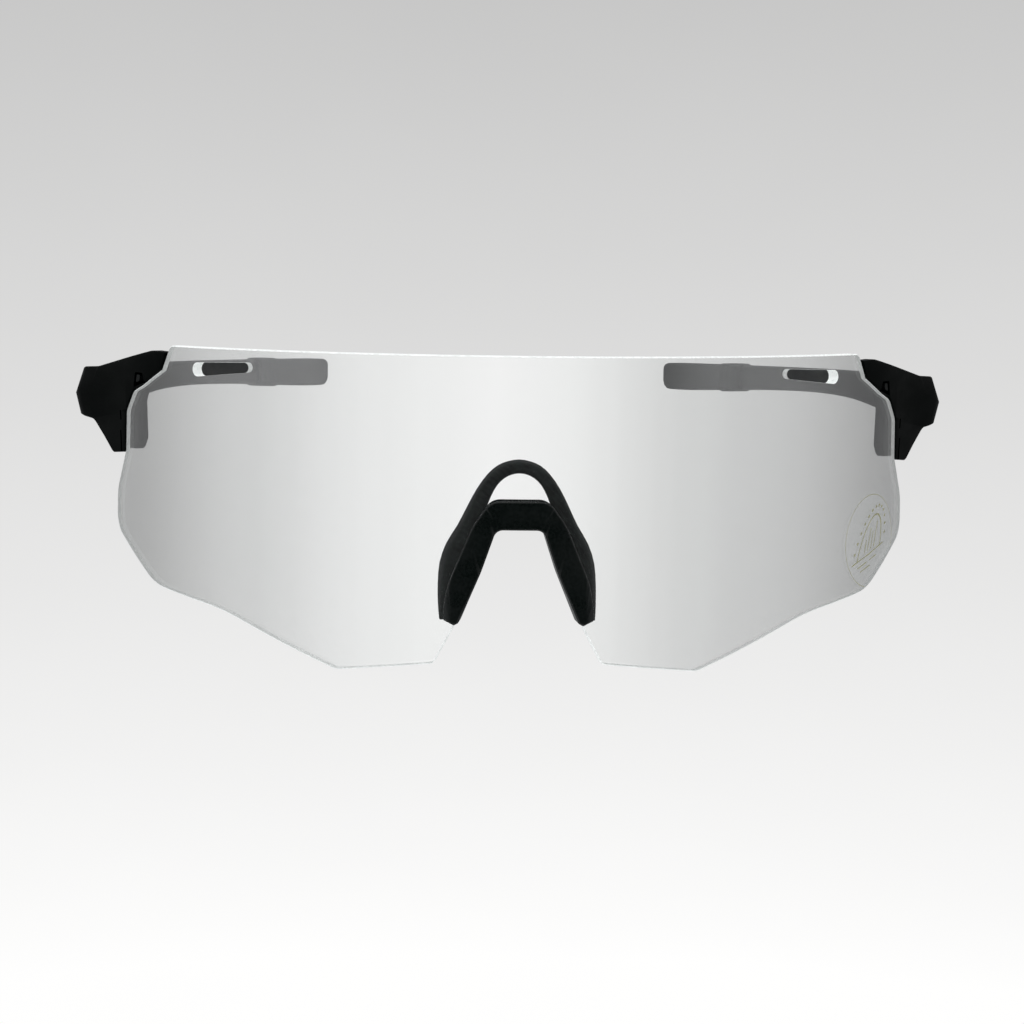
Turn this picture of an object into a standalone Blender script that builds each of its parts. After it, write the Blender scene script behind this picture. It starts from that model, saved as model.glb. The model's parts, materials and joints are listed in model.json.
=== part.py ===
"""Wraparound sport sunglasses: one clear shield lens, two hinged temples and a rubber nose piece.

Units are metres. X runs across the face, the lens looks along -Y and +Z is up.
The lens front is part of an upright cylinder. Plates that follow it are drawn flat, with X as the
arc length from the middle and Y as the depth behind the front face, and are then bent round.
"""
import math

import bmesh
import bpy
from mathutils import Matrix, Vector

OBJECT_NAME = "sport_shield_sunglasses"

# ---- overall placing
LENS_TOP = 0.05105         # height of the lens's top edge, with its lowest corner at zero
FRONT_Y = -0.07942         # foremost line of the lens
GAP = 0.0003               # clearance between neighbouring pieces
STRIP = 0.0026             # widest strip of a bent plate

# ---- lens
LENS_RADIUS = 0.082
LENS_THICKNESS = 0.0020
LENS_EDGE_BEVEL = 0.00018

# ---- plan line that the lens, end pieces and temples follow
WRAP_ARC = 0.0792          # from the middle to where the lens side ends
CHEEK_LENGTH = 0.0155      # straight run of an end piece
CORNER_RADIUS = 0.005
TEMPLE_HEADING = math.radians(107.4)
CORNER_START = WRAP_ARC + CHEEK_LENGTH

# ---- end pieces
PLATE_THICKNESS = 0.0020
BLOCK_DEPTH = 0.0038
RIDGE_HEIGHT = 0.0018       # how far the ridge of an end piece stands out at the hinge
RIDGE_START = (0.0830, -0.0056)
RIDGE_SLOPE = -0.30
RIDGE_RUN = 0.0162
RIDGE_TOP = -0.0046         # where the facet above the ridge ends
RIDGE_FALL = 0.0078         # height of the facet below it
RELIEF_STATIONS = [0.0830, 0.0855, 0.0879, 0.0912]
PLATE_BEVEL = 0.00022

# ---- hinges
AXIS_INSET = 0.0030        # hinge axis behind the outer face
BARREL_RADIUS = 0.0022
BARREL_CLEARANCE = 0.0025
HINGE_TOP = -0.0057
HINGE_BOTTOM = -0.0133
KNUCKLE_LENGTH = 0.0023
PIN_RADIUS = 0.00070
BORE_RADIUS = 0.00077
SCREW_HEAD_RADIUS = 0.0013
NUT_RADIUS = 0.0014

# ---- temples
TEMPLE_REACH = 0.1128
ARM_END = 0.084
SOCK_START = 0.0740
WIRE_START = 0.058
WIRE_END = 0.1065
WIRE_WIDTH = 0.0007
WIRE_HEIGHT = 0.0018
BOW = 0.0014

# ---- nose piece
LIP_PROUD = 0.0012
CLIP_BACK = 0.0032


# ======================================================================== shapes
def clear_scene():
    """Remove whatever the file starts with."""
    for item in list(bpy.data.objects):
        bpy.data.objects.remove(item, do_unlink=True)


def collection(name):
    """A new collection linked to the scene."""
    made = bpy.data.collections.new(name)
    bpy.context.scene.collection.children.link(made)
    return made


def material(name, colour, roughness, metallic=0.0, alpha=1.0):
    """A Principled material."""
    made = bpy.data.materials.new(name)
    made.use_nodes = True
    shader = made.node_tree.nodes["Principled BSDF"]
    shader.inputs["Base Color"].default_value = (*colour, 1.0)
    shader.inputs["Roughness"].default_value = roughness
    shader.inputs["Metallic"].default_value = metallic
    shader.inputs["Alpha"].default_value = alpha
    made.diffuse_color = (*colour, alpha)
    return made


def object_from(name, mesh_data, home, look=None):
    """A mesh object from bmesh data, in a collection."""
    mesh = bpy.data.meshes.new(name)
    mesh_data.to_mesh(mesh)
    mesh_data.free()
    made = bpy.data.objects.new(name, mesh)
    home.objects.link(made)
    if look is not None:
        mesh.materials.append(look)
    return made


def cutter_from(name, mesh_data):
    """A cutting body, kept out of renders."""
    made = object_from(name, mesh_data, CUTTERS)
    made.hide_render = True
    made.display_type = "WIRE"
    return made


def bake(target):
    """Replace the object's mesh with its modified mesh."""
    graph = bpy.context.evaluated_depsgraph_get()
    mesh = bpy.data.meshes.new_from_object(target.evaluated_get(graph))
    clean = bmesh.new()
    clean.from_mesh(mesh)
    bmesh.ops.remove_doubles(clean, verts=clean.verts, dist=0.000003)
    bmesh.ops.dissolve_degenerate(clean, edges=clean.edges, dist=0.000002)
    clean.to_mesh(mesh)
    clean.free()
    target.modifiers.clear()
    old = target.data
    target.data = mesh
    bpy.data.meshes.remove(old)
    mesh.name = target.name


def combine(target, other, operation):
    """Join or cut with an exact Boolean."""
    step = target.modifiers.new(operation.lower(), "BOOLEAN")
    step.operation = operation
    step.solver = "EXACT"
    step.object = other
    bake(target)


def smooth(target, degrees=32.0):
    """Round surfaces shade smooth and real corners stay crisp."""
    target.data.shade_smooth()
    target.data.set_sharp_from_angle(angle=math.radians(degrees))


def tidy(mesh_data, distance=0.000004):
    """Join doubled points and turn all faces outwards."""
    bmesh.ops.remove_doubles(mesh_data, verts=mesh_data.verts, dist=distance)
    bmesh.ops.recalc_face_normals(mesh_data, faces=mesh_data.faces)


def fillet(corners, steps=6):
    """A closed outline from (x, z, radius) corners, with each corner an arc."""
    outline = []
    count = len(corners)
    for index, (x, z, radius) in enumerate(corners):
        here = Vector((x, z))
        before = (Vector(corners[index - 1][:2]) - here).normalized()
        after = (Vector(corners[(index + 1) % count][:2]) - here).normalized()
        half = before.angle(after) / 2.0
        if radius <= 0.0 or half > math.radians(89.0):
            outline.append(here)
            continue
        reach = radius / math.tan(half)
        start = here + before * reach
        finish = here + after * reach
        centre = here + (before + after).normalized() * (radius / math.sin(half))
        first = start - centre
        last = finish - centre
        sweep = first.angle_signed(last)
        for step in range(steps + 1):
            turned = first.copy()
            turned.rotate(Matrix.Rotation(-sweep * step / steps, 2))
            outline.append(centre + turned)
    return outline


def offset_path(points, distance):
    """An open path moved to its left by a distance, with mitred corners."""
    moved = []
    last = len(points) - 1
    for index, point in enumerate(points):
        here = Vector(point)
        into = (here - Vector(points[index - 1])).normalized() if index > 0 else None
        out = (Vector(points[index + 1]) - here).normalized() if index < last else None
        into = into or out
        out = out or into
        left_in = Vector((-into.y, into.x))
        left_out = Vector((-out.y, out.x))
        middle = (left_in + left_out).normalized()
        moved.append(here + middle * (distance / middle.dot(left_in)))
    return moved


def prism(outline, front, back, bevel=0.0):
    """A flat plate: a filled 2D curve, X and Z from the outline and Y from front to back."""
    curve = bpy.data.curves.new("outline", "CURVE")
    curve.dimensions = "2D"
    curve.fill_mode = "BOTH"
    curve.extrude = (back - front) / 2.0 - bevel
    curve.bevel_depth = bevel
    curve.bevel_resolution = 0
    curve.offset = -bevel
    spline = curve.splines.new("POLY")
    spline.points.add(len(outline) - 1)
    for point, (x, z) in zip(spline.points, outline):
        point.co = (x, z, 0.0, 1.0)
    spline.use_cyclic_u = True
    holder = bpy.data.objects.new("outline", curve)
    CUTTERS.objects.link(holder)
    graph = bpy.context.evaluated_depsgraph_get()
    mesh = bpy.data.meshes.new_from_object(holder.evaluated_get(graph))
    bpy.data.objects.remove(holder, do_unlink=True)
    plate = bmesh.new()
    plate.from_mesh(mesh)
    bpy.data.meshes.remove(mesh)
    stand = Matrix.Translation((0.0, (front + back) / 2.0, 0.0)) @ Matrix.Rotation(math.pi / 2, 4, "X")
    bmesh.ops.transform(plate, verts=plate.verts, matrix=stand)
    tidy(plate)
    return plate


def tube_body(radius, start, finish, steps=28):
    """An upright solid cylinder at the origin, from one height to another."""
    body = bmesh.new()
    bmesh.ops.create_cone(
        body, cap_ends=True, segments=steps, radius1=radius, radius2=radius,
        depth=finish - start,
        matrix=Matrix.Translation((0.0, 0.0, (start + finish) / 2.0)),
    )
    return body


def box_body(low, high):
    """A box between two corners."""
    body = bmesh.new()
    size = [b - a for a, b in zip(low, high)]
    middle = [(a + b) / 2.0 for a, b in zip(low, high)]
    scale = Matrix.Diagonal((*size, 1.0))
    bmesh.ops.create_cube(body, size=1.0, matrix=Matrix.Translation(middle) @ scale)
    return body


def loft(sections):
    """A closed body through rings of equal point counts, with flat ends."""
    body = bmesh.new()
    rings = [[body.verts.new(point) for point in section] for section in sections]
    count = len(rings[0])
    for ring, following in zip(rings, rings[1:]):
        for index in range(count):
            after = (index + 1) % count
            body.faces.new((ring[index], ring[after], following[after], following[index]))
    body.faces.new(rings[0])
    body.faces.new(rings[-1])
    tidy(body)
    return body


def station_value(stations, place):
    """A smooth value between (place, value) stations."""
    if place <= stations[0][0]:
        return stations[0][1]
    if place >= stations[-1][0]:
        return stations[-1][1]
    index = 0
    while stations[index + 1][0] < place:
        index += 1
    x0, y0 = stations[index]
    x1, y1 = stations[index + 1]
    xa, ya = stations[max(index - 1, 0)]
    xb, yb = stations[min(index + 2, len(stations) - 1)]
    slope0 = (y1 - ya) / (x1 - xa)
    slope1 = (yb - y0) / (xb - x0)
    span = x1 - x0
    u = (place - x0) / span
    h00 = 2 * u ** 3 - 3 * u ** 2 + 1
    h10 = u ** 3 - 2 * u ** 2 + u
    h01 = -2 * u ** 3 + 3 * u ** 2
    h11 = u ** 3 - u ** 2
    return h00 * y0 + h10 * span * slope0 + h01 * y1 + h11 * span * slope1


# ======================================================================== plan line
def plan_frame(arc):
    """Plan point and outward normal of the front face at an arc length from the middle."""
    side = 1.0 if arc >= 0.0 else -1.0
    length = abs(arc)
    end_angle = WRAP_ARC / LENS_RADIUS
    if length <= WRAP_ARC:
        angle = length / LENS_RADIUS
        point = Vector((math.sin(angle), 1.0 - math.cos(angle))) * LENS_RADIUS
        heading = angle
    else:
        point = Vector((math.sin(end_angle), 1.0 - math.cos(end_angle))) * LENS_RADIUS
        heading = end_angle
        straight = min(length - WRAP_ARC, CHEEK_LENGTH)
        point += Vector((math.cos(heading), math.sin(heading))) * straight
        if length > CORNER_START:
            corner_length = CORNER_RADIUS * (TEMPLE_HEADING - end_angle)
            turn = min(length - CORNER_START, corner_length) / CORNER_RADIUS
            centre = point + Vector((-math.sin(heading), math.cos(heading))) * CORNER_RADIUS
            heading += turn
            point = centre + Vector((math.sin(heading), -math.cos(heading))) * CORNER_RADIUS
            rest = length - CORNER_START - corner_length
            if rest > 0.0:
                point += Vector((math.cos(heading), math.sin(heading))) * rest
    normal = Vector((math.sin(heading), -math.cos(heading)))
    point = Vector((point.x * side, point.y + FRONT_Y))
    return point, Vector((normal.x * side, normal.y))


CORNER_END = CORNER_START + CORNER_RADIUS * (TEMPLE_HEADING - WRAP_ARC / LENS_RADIUS)
BLOCK_END = CORNER_END - 0.0007


def slice_plate(mesh_data, point, normal):
    """Add edges where a plane crosses the plate."""
    bmesh.ops.bisect_plane(
        mesh_data, geom=mesh_data.verts[:] + mesh_data.edges[:] + mesh_data.faces[:],
        dist=0.00001, plane_co=point, plane_no=normal,
    )


def bend(mesh_data, relief=None):
    """Bend a flat plate round the plan line; relief adds height to its front face."""
    bmesh.ops.dissolve_limit(
        mesh_data, angle_limit=math.radians(0.2), verts=mesh_data.verts, edges=mesh_data.edges,
    )
    arcs = [vert.co.x for vert in mesh_data.verts]
    count = math.floor(WRAP_ARC / STRIP)
    cuts = [index * WRAP_ARC / count for index in range(-count, count + 1)]
    cuts += [CORNER_START + (CORNER_END - CORNER_START) * index / 8.0 for index in range(9)]
    if relief is not None:
        cuts += RELIEF_STATIONS
        slice_plate(mesh_data, (RIDGE_START[0], 0.0, RIDGE_START[1]), (-RIDGE_SLOPE, 0.0, 1.0))
    for place in cuts:
        if min(arcs) < place < max(arcs):
            slice_plate(mesh_data, (place, 0.0, 0.0), (1.0, 0.0, 0.0))
    bmesh.ops.triangulate(mesh_data, faces=[face for face in mesh_data.faces if len(face.verts) > 4])
    for vert in mesh_data.verts:
        arc, depth, height = vert.co
        if relief is not None:
            depth -= relief(arc, height) * max(0.0, 1.0 - depth / PLATE_THICKNESS)
        point, normal = plan_frame(arc)
        place = point - normal * depth
        vert.co = (place.x, place.y, height + LENS_TOP)
    tidy(mesh_data)
    return mesh_data


def bend_object(target, relief=None):
    """Bend an object that was drawn flat."""
    plate = bmesh.new()
    plate.from_mesh(target.data)
    bend(plate, relief)
    plate.to_mesh(target.data)
    plate.free()


def both_sides(half):
    """A full outline from its right half, which runs from top middle to bottom middle."""
    return half + [(-x, z, radius) for x, z, radius in reversed(half)]


# ======================================================================== shared outlines
# (arc, height below the top edge, corner radius)
TOP_CORNER = (0.0646, 0.0, 0.0016)
NOSE_TOP_RADIUS = 0.0034
NOTCH = [(0.0670, -0.0042), (0.0730, -0.0071), (0.0762, -0.0083), (0.0789, -0.0118), (0.0793, -0.0186)]
NOTCH_RADII = (0.0006, 0.0020, 0.0020, 0.0020, 0.0010)
LENS_HALF = [TOP_CORNER]
LENS_HALF += [(x, z, r) for (x, z), r in zip(NOTCH, NOTCH_RADII)]
LENS_HALF += [
    (0.0829, -0.0258, 0.0080),
    (0.0832, -0.0325, 0.0045),
    (0.0697, -0.0411, 0.0120),
    (0.0520, -0.0433, 0.0400),
    (0.0300, -0.0511, 0.0026),
    (0.0136, -0.0492, 0.0012),
    (0.0104, -0.0432, 0.0100),
    (0.0088, -0.0372, 0.0300),
    (0.0054, -0.0262, NOSE_TOP_RADIUS),
]


def lens_body():
    """The bare lens plate, drawn flat."""
    return prism(fillet(both_sides(LENS_HALF)), 0.0, LENS_THICKNESS, LENS_EDGE_BEVEL)


# ends of a vent slot: (arc, height below the top edge), end radius and steps round the end
VENT_INNER = Vector((0.0471, -0.0030))
VENT_OUTER = Vector((0.0576, -0.0037))
VENT_INNER_RADIUS = 0.00082
VENT_OUTER_RADIUS = 0.00116
VENT_END_STEPS = 14


def vent_outline(side):
    """A tapering slot with two round ends."""
    run = VENT_OUTER - VENT_INNER
    tilt = math.atan2(run.y, run.x)
    lean = math.asin((VENT_OUTER_RADIUS - VENT_INNER_RADIUS) / run.length)
    points = []
    arcs = (
        (VENT_OUTER, VENT_OUTER_RADIUS, tilt - math.pi / 2 - lean, math.pi + 2 * lean),
        (VENT_INNER, VENT_INNER_RADIUS, tilt + math.pi / 2 + lean, math.pi - 2 * lean),
    )
    for centre, radius, start, sweep in arcs:
        for step in range(VENT_END_STEPS + 1):
            angle = start + sweep * step / VENT_END_STEPS
            points.append((centre.x + radius * math.cos(angle), centre.y + radius * math.sin(angle)))
    if side < 0:
        points = [(-x, z) for x, z in reversed(points)]
    return points


def make_lens():
    """Shield lens with vent slots, stepped upper corners and a nose cutout."""
    lens = object_from("shield_lens", lens_body(), PARTS, LOOKS["lens"])
    for side, label in ((1, "right"), (-1, "left")):
        vent = cutter_from(f"vent_cutter_{label}", prism(vent_outline(side), -0.001, 0.003))
        combine(lens, vent, "DIFFERENCE")
    bend_object(lens)
    smooth(lens)
    return lens


# the film's middle (arc, height below the top edge), and its front and back behind the lens front
FILM_CENTRE = Vector((0.0702, -0.0325))
FILM_RADIUS = 0.0084
FILM_DEPTH = (-0.00030, -0.00015)
FILM_STEPS = 56


def make_sticker():
    """Thin clear peel-off film on the lens, trimmed along the lens edge."""
    disc = []
    for step in range(FILM_STEPS):
        angle = math.tau * step / FILM_STEPS
        disc.append((FILM_CENTRE.x + FILM_RADIUS * math.cos(angle),
                     FILM_CENTRE.y + FILM_RADIUS * math.sin(angle)))
    sticker = object_from("lens_sticker", prism(disc, *FILM_DEPTH), PARTS, LOOKS["film"])
    inset = [(x, z) for x, z, r in LENS_HALF[4:8]]
    edge = [Vector(point) for point in offset_path(inset, -0.0006)]
    keep = edge + [Vector((0.055, -0.045)), Vector((0.055, -0.018))]
    combine(sticker, cutter_from("sticker_trim", prism(keep, -0.002, 0.002)), "INTERSECT")
    bend_object(sticker)
    smooth(sticker)
    return sticker


# ======================================================================== end pieces
def end_piece_relief(arc, height):
    """Ridge that falls and grows towards the hinge, between a facet above and one below."""
    run = arc - RIDGE_START[0]
    grow = min(max(run / RIDGE_RUN, 0.0), 1.0)
    grow = grow * grow * (3.0 - 2.0 * grow)
    crest = RIDGE_START[1] + RIDGE_SLOPE * max(run, 0.0)
    if height > crest:
        share = (RIDGE_TOP - height) / (RIDGE_TOP - crest)
    else:
        share = 1.0 - (crest - height) / RIDGE_FALL
    return RIDGE_HEIGHT * grow * max(0.0, share)


def end_piece_outline():
    """Outline of an end piece, whose inner side follows the lens notch at a gap."""
    seam = [TOP_CORNER[:2]] + NOTCH
    seam = offset_path(seam, GAP)
    slope = (seam[1] - seam[0]).normalized()
    start = seam[0] + slope * ((seam[0].y + 0.0012) / -slope.y)
    corners = [(start.x, start.y, 0.00040)]
    corners += [(point.x, point.y, radius) for point, radius in zip(seam[1:-1], NOTCH_RADII)]
    corners += [
        (0.07965, -0.01910, 0.0006),
        (0.08480, -0.01960, 0.0012),
        (0.09230, -0.01420, 0.0030),
        (CORNER_END - GAP / 2, -0.01360, 0.0),
        (CORNER_END - GAP / 2, -0.00520, 0.0),
        (0.09050, -0.00470, 0.0060),
        (0.07000, -0.00105, 0.0060),
    ]
    return fillet(corners, 5)


def hinge_frame():
    """Hinge axis in plan, with the temple's backward and outward directions."""
    corner, outward = plan_frame(CORNER_END)
    back = Vector((math.cos(TEMPLE_HEADING), math.sin(TEMPLE_HEADING)))
    return corner - outward * AXIS_INSET, back, outward


def at_hinge(mesh_data):
    """Move a body drawn upright at the origin onto the hinge axis."""
    axis, _, _ = hinge_frame()
    bmesh.ops.translate(mesh_data, verts=mesh_data.verts, vec=(axis.x, axis.y, LENS_TOP))
    return mesh_data


KNUCKLES = {
    "top": (HINGE_TOP - KNUCKLE_LENGTH, HINGE_TOP),
    "middle": (HINGE_BOTTOM + KNUCKLE_LENGTH + GAP, HINGE_TOP - KNUCKLE_LENGTH - GAP),
    "bottom": (HINGE_BOTTOM, HINGE_BOTTOM + KNUCKLE_LENGTH),
}


def make_end_piece():
    """Right end piece: a plate beside the lens and a hinge block with two knuckles."""
    piece = object_from(
        "end_piece_right", prism(end_piece_outline(), 0.0, PLATE_THICKNESS, PLATE_BEVEL),
        PARTS, LOOKS["frame_right"],
    )
    window = fillet([
        (0.08110, -0.01190, 0.00015), (0.08160, -0.01185, 0.00015),
        (0.08145, -0.01360, 0.00015), (0.08095, -0.01365, 0.00015),
    ], 3)
    combine(piece, cutter_from("window_cutter", prism(window, -0.001, 0.003)), "DIFFERENCE")
    slit = fillet([
        (0.08055, -0.02100, 0.0), (0.08130, -0.02100, 0.0),
        (0.08155, -0.01540, 0.00015), (0.08110, -0.01530, 0.00015),
    ], 3)
    combine(piece, cutter_from("slit_cutter", prism(slit, -0.001, 0.003)), "DIFFERENCE")
    hook_room = fillet([
        (0.0731, -0.0050, 0.0003), (0.0756, -0.0050, 0.0003),
        (0.0761, -0.0076, 0.0), (0.0725, -0.0066, 0.0),
    ], 3)
    combine(piece, cutter_from("hook_room_cutter", prism(hook_room, -0.001, 0.003)), "DIFFERENCE")
    bend_object(piece, end_piece_relief)

    block_outline = fillet([
        (0.0882, -0.0062, 0.0008), (BLOCK_END, -0.0060, 0.0),
        (BLOCK_END, -0.0130, 0.0), (0.0920, -0.0136, 0.0008), (0.0882, -0.0152, 0.0008),
    ], 4)
    block = cutter_from("hinge_block", bend(prism(block_outline, 0.0012, BLOCK_DEPTH)))
    combine(piece, block, "UNION")
    for place in ("top", "bottom"):
        low, high = KNUCKLES[place]
        knuckle = at_hinge(tube_body(BARREL_RADIUS, low, high))
        combine(piece, cutter_from(f"{place}_knuckle", knuckle), "UNION")
    low, high = KNUCKLES["middle"]
    room = at_hinge(tube_body(BARREL_CLEARANCE, low - GAP, high + GAP, 40))
    combine(piece, cutter_from("middle_knuckle_room", room), "DIFFERENCE")

    bores = (
        (BORE_RADIUS, HINGE_BOTTOM - 0.002, HINGE_TOP + 0.002),
        (SCREW_HEAD_RADIUS + GAP, HINGE_TOP - 0.0010, HINGE_TOP + 0.002),
        (NUT_RADIUS + GAP, HINGE_BOTTOM - 0.002, HINGE_BOTTOM + 0.0013),
    )
    for index, (radius, low, high) in enumerate(bores):
        bore = at_hinge(tube_body(radius, low, high))
        combine(piece, cutter_from(f"hinge_bore_{index}", bore), "DIFFERENCE")
    for index, height in enumerate(SCREW_HEIGHTS):
        hole = stand_in_plate(tube_body(0.0009, -0.004, -0.0004), height)
        combine(piece, cutter_from(f"screw_hole_{index}", hole), "DIFFERENCE")
    smooth(piece)
    return piece


# ======================================================================== lens brackets
SCREW_ARC = 0.0852
SCREW_HEIGHTS = (-0.0088, -0.0150)
BRACKET_FRONT = 0.0023
BRACKET_BACK = 0.0038


def stand_in_plate(mesh_data, height):
    """Stand a body on the end piece's plate: its +Z becomes the outward normal."""
    point, normal = plan_frame(SCREW_ARC)
    along = Vector((normal.x, normal.y, 0.0))
    turn = along.to_track_quat("Z", "Y").to_matrix().to_4x4()
    place = Matrix.Translation((point.x, point.y, height + LENS_TOP))
    bmesh.ops.transform(mesh_data, verts=mesh_data.verts, matrix=place @ turn)
    return mesh_data


def make_bracket():
    """Right lens bracket: a plate behind the lens edge with a hook at the notch."""
    outline = fillet([
        (0.0762, -0.0100, 0.0015), (0.0742, -0.0066, 0.0004), (0.0738, -0.0052, 0.0004),
        (0.0752, -0.0052, 0.0004), (0.0770, -0.0066, 0.0020), (0.0872, -0.0070, 0.0012),
        (0.0872, -0.0155, 0.0010), (0.0838, -0.0187, 0.0014), (0.0772, -0.0184, 0.0014),
        (0.0759, -0.0165, 0.0010),
    ], 5)
    bracket = object_from(
        "lens_bracket_right", prism(outline, BRACKET_FRONT, BRACKET_BACK, 0.0002),
        PARTS, LOOKS["bracket_right"],
    )
    hook = fillet([
        (0.0740, -0.0054, 0.0002), (0.0751, -0.0054, 0.0002),
        (0.0755, -0.0068, 0.0002), (0.0743, -0.0064, 0.0002),
    ], 3)
    combine(bracket, cutter_from("hook", prism(hook, 0.0001, 0.0030)), "UNION")
    bend_object(bracket)
    for index, height in enumerate(SCREW_HEIGHTS):
        hole = stand_in_plate(tube_body(0.0009, -0.006, 0.0), height)
        combine(bracket, cutter_from(f"bracket_hole_{index}", hole), "DIFFERENCE")
    smooth(bracket)
    return bracket


def screw_body(head_radius, head_height, shaft_radius, shaft_length, slot_width):
    """A screw pointing along +Z, head below, with a cross recess in the head."""
    screw = cutter_from("screw_blank", tube_body(head_radius, -head_height, 0.0))
    shaft = cutter_from("screw_shaft", tube_body(shaft_radius, -head_height / 2, shaft_length, 20))
    combine(screw, shaft, "UNION")
    reach = head_radius * 0.62
    depth = head_height * 0.55
    for low_x, low_y in ((reach, slot_width), (slot_width, reach)):
        low = (-low_x, -low_y, -head_height - 0.001)
        high = (low_x, low_y, -head_height + depth)
        combine(screw, cutter_from("recess", box_body(low, high)), "DIFFERENCE")
    blank = bmesh.new()
    blank.from_mesh(screw.data)
    bpy.data.objects.remove(screw, do_unlink=True)
    return blank


def make_bracket_screw(place, height):
    """A screw that clamps the right bracket to its end piece."""
    body = screw_body(0.0013, 0.0007, 0.0006, 0.0027, 0.00018)
    bmesh.ops.translate(body, verts=body.verts, vec=(0.0, 0.0, -BRACKET_BACK - GAP))
    screw = object_from(
        f"bracket_screw_{place}_right", stand_in_plate(body, height), PARTS, LOOKS["screw"],
    )
    smooth(screw)
    return screw


def make_upper_screw():
    """The upper bracket screw on the right."""
    return make_bracket_screw("upper", SCREW_HEIGHTS[0])


def make_lower_screw():
    """The lower bracket screw on the right."""
    return make_bracket_screw("lower", SCREW_HEIGHTS[1])


def make_hinge_screw():
    """Right hinge screw, head up."""
    length = HINGE_TOP - 0.0010 - HINGE_BOTTOM - 0.0002
    body = screw_body(SCREW_HEAD_RADIUS, 0.0006, PIN_RADIUS, length, 0.00018)
    bmesh.ops.rotate(body, verts=body.verts, matrix=Matrix.Rotation(math.pi, 3, "X"))
    bmesh.ops.translate(body, verts=body.verts, vec=(0.0, 0.0, HINGE_TOP - 0.0010 + GAP))
    screw = object_from("hinge_screw_right", at_hinge(body), PARTS, LOOKS["screw"])
    smooth(screw)
    return screw


def make_hinge_nut():
    """Right hinge nut: a round threaded insert in the bottom knuckle."""
    nut = object_from(
        "hinge_nut_right", at_hinge(tube_body(NUT_RADIUS, HINGE_BOTTOM, HINGE_BOTTOM + 0.0010)),
        PARTS, LOOKS["nut"],
    )
    bore = at_hinge(tube_body(BORE_RADIUS, HINGE_BOTTOM - 0.001, HINGE_BOTTOM + 0.002))
    combine(nut, cutter_from("nut_bore", bore), "DIFFERENCE")
    smooth(nut)
    return nut


# ======================================================================== temples
# (distance back from the hinge corner, height below the lens's top edge)
ARM_TOP = [(0.0, -0.0052), (0.028, -0.0056), (0.050, -0.0062), (0.088, -0.0075), (0.1128, -0.0084)]
ARM_BOTTOM = [
    (0.0, -0.0137), (0.010, -0.0126), (0.018, -0.0116), (0.027, -0.0109), (0.040, -0.0108),
    (0.058, -0.0115), (0.076, -0.0126), (0.098, -0.0140), (0.1128, -0.0146),
]
ARM_WIDTH = [(0.0, 0.0038), (0.012, 0.0033), (0.025, 0.0028), (0.060, 0.0026), (0.084, 0.0026)]
TEMPLE_RIDGE = [(0.0, 0.0018), (0.010, 0.0012), (0.030, 0.0005), (0.060, 0.0)]
TONGUE_WIDTH = 0.0024
TONGUE_HEIGHT = 0.0036
SOCK_INNER = -0.0035
SOCK_OUTER = 0.0009
SOCK_SWELL = [(SOCK_START, 0.0), (0.086, 0.0003), (0.104, 0.0003)]
RIB_FIRST = 0.0010         # from the start of the sock to its first grip rib
RIB_SPAN = 0.0078
RIB_COUNT = 3
RIB_HEIGHT = 0.00032
RIB_PITCH = 0.00082
TIP_ROUND = 0.0042
TIP_TOP = 0.0012           # how much each side of the tip is rounded away
TIP_LOW = 0.0036
TIP_SIDE = 0.0014


def temple_point(along, across, height):
    """A point of the right temple: along it, outwards from its outer face, and up."""
    corner, outward = plan_frame(CORNER_END)
    back = Vector((math.cos(TEMPLE_HEADING), math.sin(TEMPLE_HEADING)))
    bow = BOW * math.sin(math.pi * min(along / TEMPLE_REACH, 1.0))
    place = corner + back * along + outward * (across + bow)
    return Vector((place.x, place.y, height + LENS_TOP))


def rounded_section(along, inner, outer, bottom, top, radius, ridge=0.0):
    """A ring of points round a rounded rectangle across the temple."""
    ridge_z = bottom + (top - bottom) * 0.38
    half = max(top - ridge_z, ridge_z - bottom)
    centres = (
        (outer - radius, top - radius, 0.0), (inner + radius, top - radius, 90.0),
        (inner + radius, bottom + radius, 180.0), (outer - radius, bottom + radius, 270.0),
    )
    ring = []
    for across, height, start in centres:
        for step in range(4):
            angle = math.radians(start + 30.0 * step)
            ring.append((across + radius * math.cos(angle), height + radius * math.sin(angle)))
    ring.append((outer, ridge_z))
    points = []
    for across, height in ring:
        if across > (inner + outer) / 2.0:
            across += ridge * (1.0 - abs(height - ridge_z) / half)
        points.append(temple_point(along, across, height))
    return points


def spread(start, finish, pitch):
    """Evenly spread places from start to finish, no further apart than pitch."""
    count = max(1, math.ceil((finish - start) / pitch))
    return [start + (finish - start) * index / count for index in range(count + 1)]


def tongue_heights(along, height):
    """Bottom and top of a core of given height, centred in the temple."""
    middle = (station_value(ARM_TOP, along) + station_value(ARM_BOTTOM, along)) / 2.0
    return middle - height / 2.0, middle + height / 2.0


def core_section(along, width, height):
    """A ring round a flat bar in the middle of the temple."""
    bottom, top = tongue_heights(along, height)
    middle = -0.0013
    return rounded_section(along, middle - width / 2, middle + width / 2, bottom, top, 0.0002)


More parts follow.
